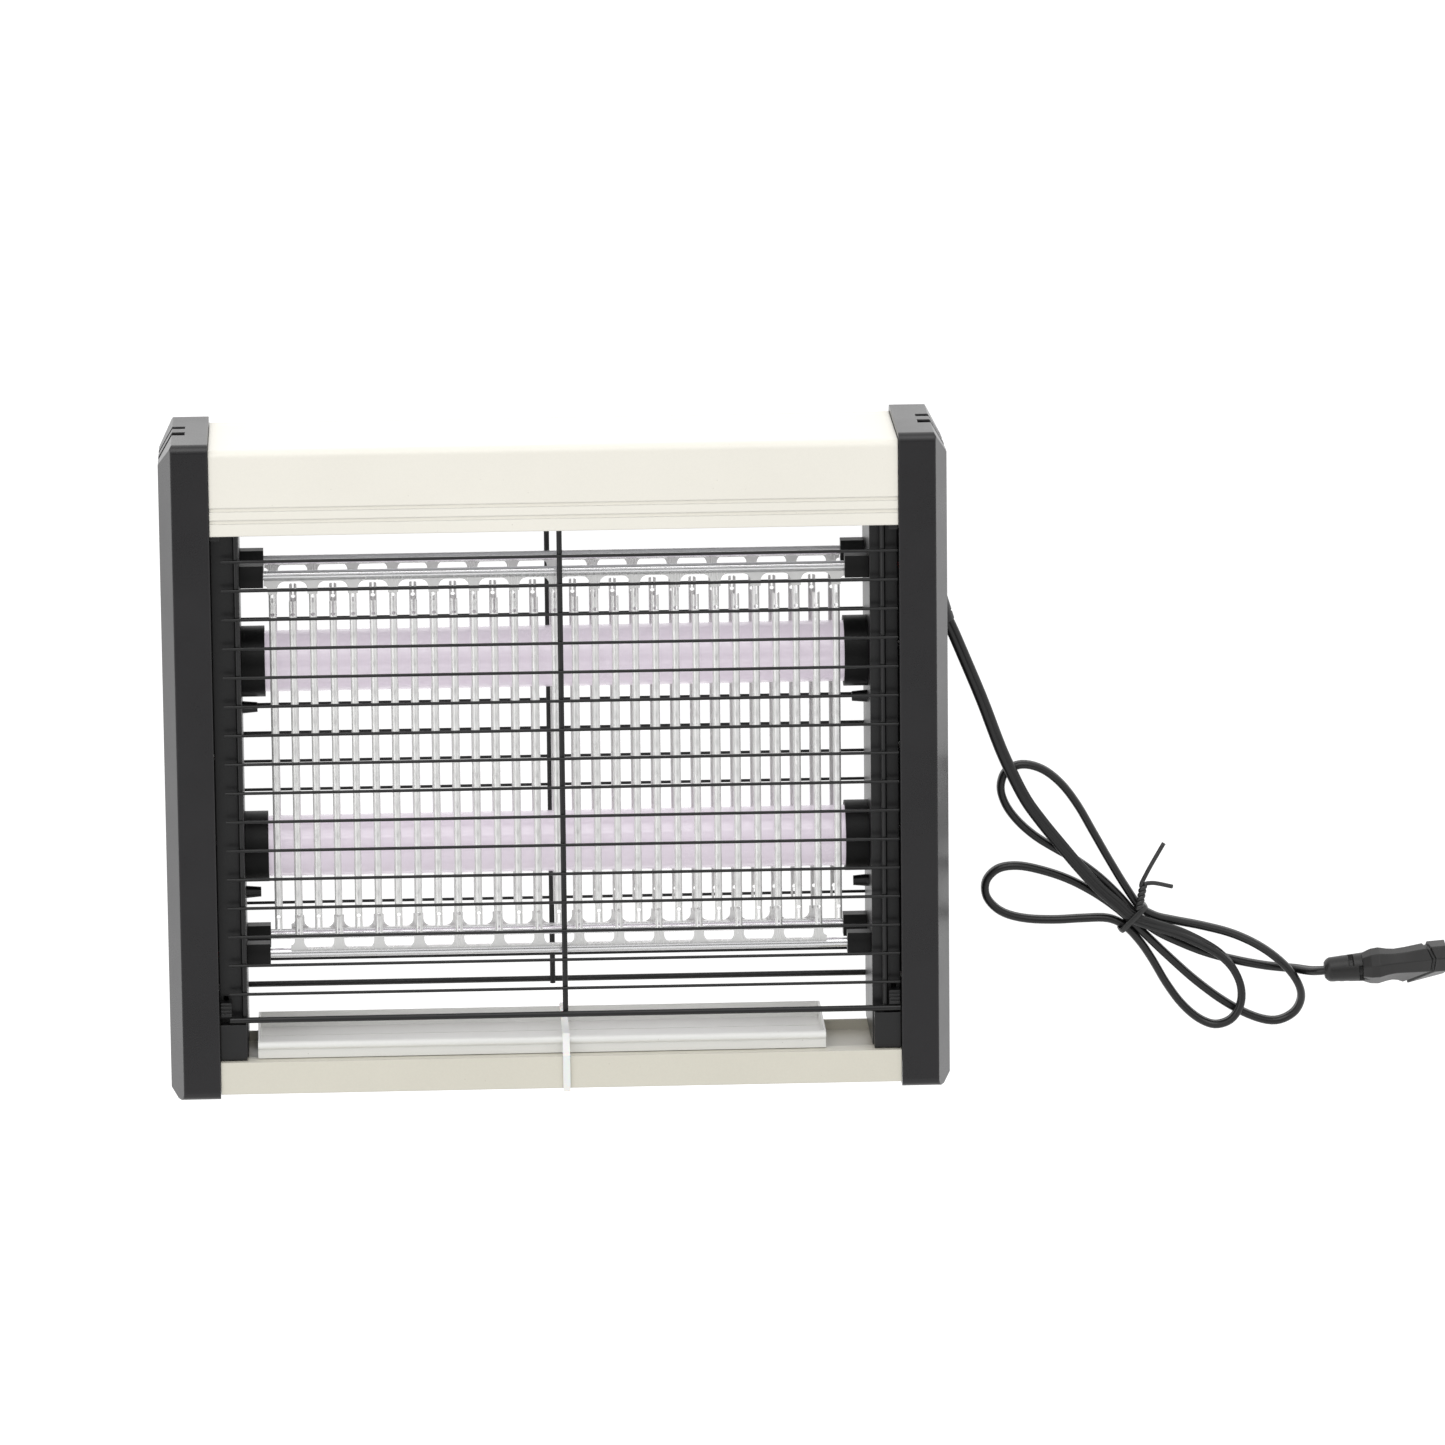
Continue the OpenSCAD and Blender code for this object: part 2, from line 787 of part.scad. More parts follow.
// Tapered strain relief with a collar that sits in the cap's wall
module cord_relief() {
    color(black)
        translate(exit_point - relief_in)
            rotate(relief_turn)
                difference() {
                    union() {
                        cylinder(h = 8, d = 12);
                        cylinder(h = relief_l, d1 = 11.4, d2 = 7.4);
                    }
                    for (s = [-1, 1])
                        translate([s * 5.4, 0, 18.5])
                            cube([3.4, 14, 1.4], center = true);
                }
}

// Direction of the route at point i
function heading(p, i) =
    let (a = p[max(i - 1, 0)], b = p[min(i + 1, len(p) - 1)])
    (b - a) / norm(b - a);

// Angle of the cord's wide side from upright at point i
function twist(i) = 90 * (1 - min(max((i - twist_from) / (twist_to - twist_from), 0), 1));

// One oval ring of the cord round point i
function ring(p, i, sides) =
    let (t = heading(p, i), u0 = cross(t, [0, 0, 1]), u = u0 / norm(u0), w = cross(u, t), a = twist(i),
         wide = sin(a) * u + cos(a) * w, thin = sin(a) * w - cos(a) * u)
    [for (k = [0 : sides - 1])
        p[i] + cord_w / 2 * cos(360 * k / sides) * wide + cord_t / 2 * sin(360 * k / sides) * thin];

// The flat cord along its route, as one closed polyhedron
module flat_tube(p, sides) {
    n = len(p);
    points = [for (i = [0 : n - 1]) each ring(p, i, sides)];
    walls = [for (i = [0 : n - 2]) for (k = [0 : sides - 1])
        [i * sides + k, i * sides + (k + 1) % sides, (i + 1) * sides + (k + 1) % sides, (i + 1) * sides + k]];
    first = [for (k = [sides - 1 : -1 : 0]) k];
    last = [for (k = [0 : sides - 1]) (n - 1) * sides + k];
    polyhedron(points, concat([first], walls, [last]), convexity = 10);
}

module power_cord() {
    color(black)
        flat_tube(cord_route, cord_sides);
}

tie_at = [247, -84, 0];
tie_turn = 45;
tie_wire = 1.4;
tie_half = 6.95;
tie_h = 10.2;
tie_knot = [250.4, -80.6, 10.7];
tie_twist_end = [253.2, -72.2, 8.6];

// Twist tie: a band round the five runs of the folded cord, its twisted part and its two free ends
module cord_tie() {
    color(black)
        union() {
            translate(tie_at)
                rotate([0, 0, tie_turn])
                    along_y(-1.2, 1.2)
                        difference() {
                            rounded_rect(-tie_half - tie_wire, 0, tie_half + tie_wire, tie_h + tie_wire, 3.4);
                            rounded_rect(-tie_half, tie_wire, tie_half, tie_h, 2);
                        }
            bar(tie_knot, tie_twist_end, 3);
            bar(tie_twist_end, [260.6, -52, 5], 1.5);
            bar(tie_twist_end, [264.2, -71.2, 5], 1.5);
        }
}

// Places a shape drawn along +Z with its foot at the end of the cord
module at_plug() {
    translate(plug_start)
        rotate([0, 0, plug_turn])
            rotate([plug_lean, 0, 0])
                rotate([90, 0, 90])
                    children();
}

// Flattened hexagon, w wide and t thick
module hexagon(w, t) {
    polygon([[w / 2, -t * 0.2], [w / 2, t * 0.2], [w * 0.3, t / 2], [-w * 0.3, t / 2],
             [-w / 2, t * 0.2], [-w / 2, -t * 0.2], [-w * 0.3, -t / 2], [w * 0.3, -t / 2]]);
}

plug_w = 34;
plug_t = 13.7;

module plug_body() {
    color(black)
        at_plug()
            union() {
                difference() {
                    translate([0, 0, 0.3])
                        cylinder(h = 17, d1 = 10, d2 = 12.5);
                    for (i = [0 : 2])
                        for (s = [-1, 1])
                            translate([s * 6, 0, 5 + i * 4.5])
                                cube([6, 14, 1.6], center = true);
                }
                hull() {
                    translate([0, 0, 16.5])
                        linear_extrude(3)
                            hexagon(22, 13);
                    translate([0, 0, 26])
                        linear_extrude(3)
                            hexagon(23, 12.4);
                }
                hull() {
                    translate([0, 0, 28])
                        linear_extrude(1)
                            hexagon(23, 12.4);
                    translate([0, 0, 44])
                        linear_extrude(1)
                            hexagon(31, 12.8);
                }
                translate([0, 0, 44])
                    linear_extrude(5)
                        hexagon(plug_w, plug_t);
            }
}

pin_l = 19;
pin_d = 4;
pin_pitch = 18.6;

module plug_pins() {
    color(steel)
        at_plug()
            for (s = [-1, 1])
                translate([s * pin_pitch / 2, 0, 49])
                    union() {
                        cylinder(h = pin_l - 1, d = pin_d);
                        translate([0, 0, pin_l - 1])
                            cylinder(h = 1, d1 = pin_d, d2 = pin_d - 1.4);
                    }
}

top_cover();
housing_floor();
housing_screws();
end_cap(-1);  // left_end_cap
end_cap(1);  // right_end_cap
cap_screws();
side_panel(-1);  // left_side_panel
side_panel(1);  // right_side_panel
base_channel();
lamp_holder(-1, upper_lamp_y);  // upper_left_lamp_holder
lamp_holder(1, upper_lamp_y);  // upper_right_lamp_holder
lamp_holder(-1, lower_lamp_y);  // lower_left_lamp_holder
lamp_holder(1, lower_lamp_y);  // lower_right_lamp_holder
lamp_tube(upper_lamp_y);  // upper_lamp_tube
lamp_end_caps(upper_lamp_y);  // upper_lamp_end_caps
lamp_tube(lower_lamp_y);  // lower_lamp_tube
lamp_end_caps(lower_lamp_y);  // lower_lamp_end_caps
front_grille();
rear_grille();
front_comb(false, hanging_strips);  // front_upper_comb
front_comb(true, hanging_strips - 1);  // front_lower_comb
rear_comb(false, hanging_strips);  // rear_upper_comb
rear_comb(true, hanging_strips - 1);  // rear_lower_comb
grid_rod(rod_y, front_rod_z);  // front_upper_rod
grid_rod(-rod_y, front_rod_z);  // front_lower_rod
grid_rod(rod_y, body_d - front_rod_z);  // rear_upper_rod
grid_rod(-rod_y, body_d - front_rod_z);  // rear_lower_rod
insulators(-1);  // left_insulators
insulators(1);  // right_insulators
latch(-1);  // left_latch
latch(1);  // right_latch
collecting_tray();
tray_tie();
transformer_core();
transformer_coil();
lamp_ballast(73);  // upper_lamp_ballast
lamp_ballast(-87);  // lower_lamp_ballast
lamp_starters();
circuit_board();
board_capacitors();
board_diodes();
terminal_block();
lamp_leads();
grid_leads();
mains_leads();
cord_clamp();
cord_relief();
power_cord();
cord_tie();
plug_body();
plug_pins();
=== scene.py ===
import json
import math

import bmesh
import bpy
from mathutils import Matrix, Vector


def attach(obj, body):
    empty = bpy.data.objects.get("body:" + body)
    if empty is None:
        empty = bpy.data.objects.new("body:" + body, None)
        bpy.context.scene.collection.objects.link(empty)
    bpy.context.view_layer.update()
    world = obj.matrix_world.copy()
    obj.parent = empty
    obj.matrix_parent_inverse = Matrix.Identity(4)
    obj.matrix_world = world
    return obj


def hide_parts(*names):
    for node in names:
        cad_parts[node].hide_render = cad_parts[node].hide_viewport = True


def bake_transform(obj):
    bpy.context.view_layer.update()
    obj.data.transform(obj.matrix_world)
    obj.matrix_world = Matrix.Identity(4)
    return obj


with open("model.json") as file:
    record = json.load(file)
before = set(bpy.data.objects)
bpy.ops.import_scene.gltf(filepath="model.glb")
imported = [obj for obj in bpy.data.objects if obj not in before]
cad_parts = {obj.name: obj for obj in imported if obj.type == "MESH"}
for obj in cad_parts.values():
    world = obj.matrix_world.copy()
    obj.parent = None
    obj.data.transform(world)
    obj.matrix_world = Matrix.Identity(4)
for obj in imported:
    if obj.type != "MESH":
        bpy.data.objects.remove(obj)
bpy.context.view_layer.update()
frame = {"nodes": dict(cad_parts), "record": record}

MM = 0.001
scene = bpy.context.scene
nodes = frame["nodes"]


# ---- camera, floor and light ----

CAMERA_AT = (-86.0, 873.8, 4047.8)
CAMERA_RIGHT = (0.99910, -0.01020, 0.04123)
CAMERA_UP = (0.01863, 0.97763, -0.20951)
CAMERA_BACK = (-0.03817, 0.21009, 0.97694)
LENS = 241.8
SENSOR = 36
FAR = 30  # metres

scene.view_settings.view_transform = "Standard"
camera = bpy.data.objects.new("camera", bpy.data.cameras.new("camera"))
camera.data.lens = LENS
camera.data.sensor_width = SENSOR
camera.data.clip_end = FAR
turn = Matrix((CAMERA_RIGHT, CAMERA_UP, CAMERA_BACK)).transposed()
camera.matrix_world = (Matrix.Translation(Vector(CAMERA_AT) * MM)
                       @ turn.to_quaternion().to_matrix().to_4x4())
scene.collection.objects.link(camera)
scene.camera = camera


def add(tree, kind, inputs=None, **settings):
    """A shader node with its settings, and its inputs set or linked by name or number."""
    node = tree.nodes.new("ShaderNode" + kind)
    for key, value in settings.items():
        setattr(node, key, value)
    for key, value in (inputs or {}).items():
        if isinstance(value, bpy.types.NodeSocket):
            tree.links.new(value, node.inputs[key])
        else:
            node.inputs[key].default_value = value
    return node


LIGHTS_AIM = Vector((0.05, 0, 0))
# Name, place in metres, power in watts, side in metres
SOFTBOXES = (("softbox_top", (-0.3, 2.3, 1.7), 18, 1.9), ("softbox_left", (-2.3, 0.2, 1.7), 8, 1.9))


def softbox(name, at, energy, size):
    """A square area light at a point, facing the middle of the object."""
    data = bpy.data.lights.new(name, "AREA")
    data.energy, data.size = energy, size
    light = bpy.data.objects.new(name, data)
    light.location = at
    aim = LIGHTS_AIM - Vector(at)
    light.rotation_mode = "QUATERNION"
    light.rotation_quaternion = aim.to_track_quat("-Z", "Y")
    scene.collection.objects.link(light)


for box in SOFTBOXES:
    softbox(*box)

# The studio is a bright tent with a round dark opening overhead: the polished strips and rods mirror its edge
HOLE_AT = (0.015, 0.0, 1.0)
HOLE_INNER = 0.215
HOLE_OUTER = 0.25
HOLE_LIGHT = 0.1
TENT_LIGHT = 0.92

world = bpy.data.worlds.new("studio")
world.use_nodes = True
sky = world.node_tree
direction = add(sky, "TexCoord").outputs["Generated"]
from_hole = add(sky, "VectorMath", {0: direction, 1: HOLE_AT}, operation="DISTANCE").outputs["Value"]
brightness = add(sky, "MapRange", {"Value": from_hole, "From Min": HOLE_INNER, "From Max": HOLE_OUTER,
                                   "To Min": HOLE_LIGHT, "To Max": TENT_LIGHT})
sky.links.new(brightness.outputs[0], sky.nodes["Background"].inputs["Strength"])
sky.nodes["Background"].inputs["Color"].default_value = (1, 1, 1, 1)
scene.world = world


# ---- mesh helpers ----

def mesh_piece(name, build, material, smooth=True):
    """A new object whose mesh is made by build(bm)."""
    bm = bmesh.new()
    build(bm)
    bmesh.ops.recalc_face_normals(bm, faces=bm.faces)
    mesh = bpy.data.meshes.new(name)
    bm.to_mesh(mesh)
    bm.free()
    for polygon in mesh.polygons:
        polygon.use_smooth = smooth
    mesh.materials.append(material)
    piece = bpy.data.objects.new(name, mesh)
    scene.collection.objects.link(piece)
    return piece


def skin(bm, rings, closed=False):
    """Faces between rings of points, with a cap on each end unless the rings close on themselves."""
    made = [[bm.verts.new(p) for p in ring] for ring in rings]
    sides = len(made[0])
    for i in range(len(made) - (0 if closed else 1)):
        a, b = made[i], made[(i + 1) % len(made)]
        for k in range(sides):
            bm.faces.new((a[k], a[(k + 1) % sides], b[(k + 1) % sides], b[k]))
    if not closed:
        bm.faces.new(made[0])
        bm.faces.new(made[-1])


def smooth_path(points, steps):
    """Points on a smooth curve through the given ones, with steps points for each stretch."""
    pts = [Vector(p) for p in points]
    last = len(pts) - 1
    gap = [(pts[i + 1] - pts[i]).length for i in range(last)]

    def slope(i):
        a, b = max(i - 1, 0), min(i + 1, last)
        return (pts[b] - pts[a]) / sum(gap[a:b])

    out = []
    for i in range(last):
        for s in range(steps):
            t = s / steps
            u = 1 - t
            out.append(pts[i] * (u * u * (1 + 2 * t)) + slope(i) * (gap[i] * u * u * t)
                       + pts[i + 1] * (t * t * (3 - 2 * t)) - slope(i + 1) * (gap[i] * t * t * u))
    return out + [pts[last]]


def heading(path, i, closed=False):
    """Direction of a path at point i."""
    if closed:
        return (path[(i + 1) % len(path)] - path[i - 1]).normalized()
    return (path[min(i + 1, len(path) - 1)] - path[max(i - 1, 0)]).normalized()


def oval(width, thick, sides):
    return [(width / 2 * math.cos(2 * math.pi * k / sides), thick / 2 * math.sin(2 * math.pi * k / sides))
            for k in range(sides)]


def sweep(path, profile, wide, closed=False):
    """Rings of a profile along a path; wide(i, heading) is the direction of the profile's first axis."""
    rings = []
    for i, at in enumerate(path):
        along = heading(path, i, closed)
        first = wide(i, along)
        first = (first - along * first.dot(along)).normalized()
        second = along.cross(first)
        rings.append([at + first * a + second * b for a, b in profile])
    return rings


def in_metres(rings):
    """Rings of points in millimetres as rings in metres."""
    return [[p * MM for p in ring] for ring in rings]


# ---- materials ----

BLOTCH_SCALE = 16.0
BLOTCH_SHARE = 0.6
GRAIN_SHARE = 0.4
BAND_SHARE = 0.7
EDGE_STARTS = 0.995  # dot product of the rounded and the flat normal where the lighter edge colour, partly rubbed wear and partly a painted highlight, begins
EDGE_FULL = 0.8


def weighted(tree, value, share, rest):
    """value times share plus rest."""
    return add(tree, "Math", {0: value, 1: share, 2: rest}, operation="MULTIPLY_ADD").outputs[0]


def mix_colour(tree, fac, under, over):
    """under, a colour or a socket, painted with the colour over as strongly as fac says."""
    node = add(tree, "Mix", {"Factor": fac}, data_type="RGBA")
    first, second = [s for s in node.inputs if s.type == "RGBA"]
    if isinstance(under, bpy.types.NodeSocket):
        tree.links.new(under, first)
    else:
        first.default_value = [*under, 1]
    second.default_value = [*over, 1]
    return [s for s in node.outputs if s.type == "RGBA"][0]


def surface(name, tone, spread=0.1, rough=(0.4, 0.55), metallic=0.0, grain=1800.0, stretch=(1, 1, 1),
            bump=0.12, depth=0.00006, edge=0.0, edge_wear_and_highlight=None, bands=None, specks=None, sockets=None,
            flat_faces=False):
    """A procedural material: blotches and grain in colour and roughness, bump, edges painted lighter for wear
    and a highlight, bands and specks.

    spread is how far the colour strays from tone, rough the range of roughness, grain the fine noise's scale,
    edge the radius in metres of the edges painted lighter for wear and a highlight, bands an axis and a scale,
    specks a scale, colour and share.
    """
    mat = bpy.data.materials.new(name)
    mat.use_nodes = True
    tree = mat.node_tree
    shader = tree.nodes["Principled BSDF"]
    where = add(tree, "TexCoord").outputs["Object"]
    along = add(tree, "Mapping", {"Vector": where, "Scale": stretch}).outputs[0]
    blotch = add(tree, "TexNoise", {"Vector": where, "Scale": BLOTCH_SCALE, "Detail": 5.0,
                                    "Roughness": 0.6}).outputs[0]
    fine = add(tree, "TexNoise", {"Vector": along, "Scale": grain, "Detail": 3.0}).outputs[0]
    blend = weighted(tree, fine, GRAIN_SHARE, weighted(tree, blotch, BLOTCH_SHARE, 0.0))
    height, top = fine, 0.75
    if bands:
        axis, count = bands
        wave = add(tree, "TexWave", {"Vector": where, "Scale": count, "Distortion": 0.15, "Detail": 1.0},
                   bands_direction=axis).outputs["Fac"]
        blend = weighted(tree, wave, BAND_SHARE, blend)
        height, top = blend, 1.3
    dark = [c * (1 - spread) for c in tone]
    light = [min(1, c * (1 + spread)) for c in tone]
    fac = add(tree, "MapRange", {"Value": blend, "From Min": 0.25, "From Max": top}).outputs[0]
    paint = mix_colour(tree, fac, dark, light)
    shine = add(tree, "MapRange", {"Value": blend, "From Min": 0.3, "From Max": 0.7,
                                   "To Min": rough[0], "To Max": rough[1]}).outputs[0]
    if specks:
        size, tint, share = specks
        dots = add(tree, "TexVoronoi", {"Vector": where, "Scale": size}).outputs["Distance"]
        mask = add(tree, "MapRange", {"Value": dots, "From Min": share, "From Max": share * 0.5}).outputs[0]
        patchy = add(tree, "Math", {0: mask, 1: blotch}, operation="MULTIPLY").outputs[0]
        paint = mix_colour(tree, patchy, paint, tint)
    rounded = None
    # Edges: the rounded normal shades them, and a lighter colour is painted along them, partly rubbed wear and
    # partly a painted highlight
    if edge:
        rounded = add(tree, "Bevel", {"Radius": edge}, samples=4).outputs[0]
        flat = add(tree, "NewGeometry").outputs["Normal"]
        meet = add(tree, "VectorMath", {0: rounded, 1: flat}, operation="DOT_PRODUCT").outputs["Value"]
        rubbed_and_highlit = add(tree, "MapRange", {"Value": meet, "From Min": EDGE_STARTS,
                                        "From Max": EDGE_FULL}).outputs[0]
        rubbed_and_highlit = add(tree, "Math", {0: rubbed_and_highlit, 1: blotch}, operation="MULTIPLY").outputs[0]
        paint = mix_colour(tree, rubbed_and_highlit, paint, edge_wear_and_highlight or light)
    tree.links.new(paint, shader.inputs["Base Color"])
    tree.links.new(shine, shader.inputs["Roughness"])
    relief = add(tree, "Bump", {"Strength": bump, "Distance": depth, "Height": height})
    if flat_faces:
        rounded = add(tree, "NewGeometry").outputs["True Normal"]
    if rounded:
        tree.links.new(rounded, relief.inputs["Normal"])
    tree.links.new(relief.outputs[0], shader.inputs["Normal"])
    shader.inputs["Metallic"].default_value = metallic
    for key, value in (sockets or {}).items():
        shader.inputs[key].default_value = value
    return mat


COAT = {"Coat Weight": 0.25, "Coat Roughness": 0.25}
GREY_DUST = (0.09, 0.09, 0.088)
# The edge colours given after the edge radius are lighter paint on the edges: partly rubbed wear, partly a
# painted highlight
looks = {
    "painted_cover": surface("cover_paint", (0.84, 0.815, 0.735), 0.025, (0.34, 0.5), grain=1100, bump=0.25,
                             depth=0.00005, edge=0.0008, edge_wear_and_highlight=(0.88, 0.87, 0.82),
                             specks=(160, (0.6, 0.57, 0.5), 0.045), sockets=COAT),
    "channel_paint": surface("channel_paint", (0.67, 0.645, 0.555), 0.04, (0.36, 0.5), grain=1100, bump=0.25,
                             edge=0.0006, edge_wear_and_highlight=(0.72, 0.7, 0.64), specks=(150, (0.42, 0.38, 0.3), 0.05),
                             sockets=COAT),
    "tray_metal": surface("tray_paint", (0.80, 0.80, 0.775), 0.04, (0.28, 0.42), grain=1500, bump=0.15,
                          edge=0.0004, edge_wear_and_highlight=(0.88, 0.88, 0.86), specks=(170, (0.42, 0.4, 0.36), 0.05),
                          sockets=COAT),
    "galvanised_sheet": surface("galvanised", (0.55, 0.56, 0.56), 0.22, (0.3, 0.5), 0.9, grain=160, bump=0.1,
                                specks=(90, (0.7, 0.71, 0.72), 0.5)),
    "cap_plastic": surface("cap_plastic", (0.012, 0.0113, 0.0125), 0.25, (0.24, 0.36), grain=2600, bump=0.2,
                           edge=0.0009, edge_wear_and_highlight=(0.055, 0.054, 0.055), specks=(420, GREY_DUST, 0.05)),
    "panel_plastic": surface("panel_plastic", (0.009, 0.009, 0.0094), 0.25, (0.28, 0.4), grain=2600, bump=0.3,
                             edge=0.0006, edge_wear_and_highlight=(0.04, 0.04, 0.04), specks=(420, GREY_DUST, 0.045)),
    "holder_plastic": surface("holder_plastic", (0.003, 0.003, 0.003), 0.25, (0.34, 0.46), grain=2200, bump=0.2,
                              edge=0.0005, edge_wear_and_highlight=(0.02, 0.02, 0.02), sockets={"Specular IOR Level": 0.2}),
    "insulator_plastic": surface("insulator_plastic", (0.003, 0.003, 0.003), 0.25, (0.34, 0.46), grain=2200,
                                 bump=0.2, edge=0.0005, edge_wear_and_highlight=(0.02, 0.02, 0.02),
                                 sockets={"Specular IOR Level": 0.3}),
    # The lamp glass glows with a painted light: its emission stands in for light from the bright floor shining
    # through the unlit tube
    "lamp_glass": surface("lamp_glass", (0.58, 0.53, 0.58), 0.015, (0.2, 0.3), grain=700, bump=0.01,
                          sockets={"Coat Weight": 1.0, "Coat Roughness": 0.05,
                                   "Emission Color": (0.9, 0.8, 0.92, 1), "Emission Strength": 0.36}),
    "lamp_cap_metal": surface("lamp_cap_metal", (0.78, 0.78, 0.79), 0.1, (0.18, 0.32), 1.0, grain=900,
                              stretch=(6, 0.6, 0.6), bump=0.1),
    "grille_wire": surface("grille_coat", (0.004, 0.004, 0.0042), 0.3, (0.3, 0.42), grain=2000, bump=0.25,
                           specks=(500, (0.1, 0.1, 0.1), 0.05)),
    "polished_strip": surface("polished_strip", (0.86, 0.86, 0.85), 0.03, (0.22, 0.3), 0.5, grain=900,
                              stretch=(1, 0.02, 1), bump=0.01, depth=0.00001, flat_faces=True),
    "rod_steel": surface("rod_steel", (0.86, 0.86, 0.87), 0.06, (0.14, 0.2), 0.85, grain=900,
                         stretch=(0.02, 1, 1), bump=0.01, depth=0.00001, flat_faces=True),
    "screw_steel": surface("screw_steel", (0.6, 0.6, 0.58), 0.15, (0.25, 0.45), 1.0, grain=2400, bump=0.15,
                           specks=(900, (0.35, 0.3, 0.22), 0.1)),
    "tie_nylon": surface("tie_nylon", (0.86, 0.86, 0.84), 0.04, (0.3, 0.42), grain=2200, stretch=(3, 0.3, 0.3),
                         bump=0.15, sockets={"Subsurface Weight": 0.3, "Subsurface Scale": 0.002}),
    "core_steel": surface("core_steel", (0.16, 0.16, 0.17), 0.3, (0.35, 0.6), 0.8, grain=1400,
                          bands=("Z", 320), bump=0.4),
    "coil_copper": surface("coil_copper", (0.55, 0.25, 0.1), 0.25, (0.25, 0.4), 0.7, grain=1400,
                           bands=("Y", 420), bump=0.5, depth=0.0001),
    "ballast_steel": surface("ballast_steel", (0.6, 0.6, 0.58), 0.12, (0.3, 0.45), 0.9, grain=1600,
                             stretch=(0.1, 2, 2), bump=0.1),
    "starter_plastic": surface("starter_plastic", (0.72, 0.72, 0.68), 0.06, (0.35, 0.5), grain=1800, bump=0.15),
    "board_laminate": surface("board_laminate", (0.05, 0.2, 0.08), 0.3, (0.3, 0.5), grain=900, bump=0.2,
                              specks=(260, (0.6, 0.5, 0.25), 0.12)),
    "capacitor_case": surface("capacitor_case", (0.07, 0.1, 0.33), 0.15, (0.18, 0.3), grain=1500, bump=0.08),
    "diode_body": surface("diode_body", (0.012, 0.012, 0.012), 0.3, (0.25, 0.4), grain=2400, bump=0.15),
    "terminal_plastic": surface("terminal_plastic", (0.7, 0.7, 0.65), 0.06, (0.35, 0.5), grain=1800, bump=0.15),
    "lead_white": surface("lead_white", (0.72, 0.72, 0.7), 0.06, (0.35, 0.5), grain=1500, bump=0.12),
    "lead_red": surface("lead_red", (0.48, 0.035, 0.025), 0.12, (0.35, 0.5), grain=1500, bump=0.12),
    "lead_blue": surface("lead_blue", (0.06, 0.12, 0.4), 0.12, (0.35, 0.5), grain=1500, bump=0.12),
    "cord_rubber": surface("cord_sheath", (0.006, 0.006, 0.0062), 0.3, (0.26, 0.38), grain=1700, bump=0.2,
                           specks=(600, GREY_DUST, 0.05)),
    "relief_rubber": surface("relief_rubber", (0.012, 0.012, 0.013), 0.3, (0.36, 0.5), grain=1900, bump=0.25,
                             edge=0.0004, edge_wear_and_highlight=(0.04, 0.04, 0.04), specks=(600, GREY_DUST, 0.06)),
    "tie_wire": surface("tie_wire", (0.022, 0.022, 0.022), 0.3, (0.24, 0.36), grain=2400, bump=0.2,
                        specks=(700, GREY_DUST, 0.06)),
    "plug_moulding": surface("plug_moulding", (0.0085, 0.008, 0.0078), 0.25, (0.34, 0.48), grain=2400,
                             bump=0.3, edge=0.0005, edge_wear_and_highlight=(0.07, 0.07, 0.07),
                             specks=(500, (0.12, 0.12, 0.118), 0.05)),
    "pin_metal": surface("pin_metal", (0.78, 0.74, 0.62), 0.1, (0.15, 0.3), 1.0, grain=1600,
                         stretch=(0.1, 2, 2), bump=0.08),
}
slots_of = {part["node"]: part["material_slot"] for part in frame["record"]["subparts"]}
for name, node in nodes.items():
    if not node.material_slots:
        node.data.materials.append(None)
    for place in node.material_slots:
        place.material = looks[slots_of[name]]

floor_paint = surface("floor_paint", (0.3, 0.3, 0.3), 0.01, (0.7, 0.85), grain=300, bump=0.02,
                      sockets={"Emission Color": (1, 1, 1, 1), "Emission Strength": 0.96,
                               "Specular IOR Level": 0.0})


FLOOR_HALF = 4.0
FLOOR_DROP = 0.0002


def build_floor(bm):
    bmesh.ops.create_grid(bm, x_segments=1, y_segments=1, size=FLOOR_HALF)


floor = mesh_piece("floor", build_floor, floor_paint, smooth=False)
floor.location.z = -FLOOR_DROP


# ---- power cord ----

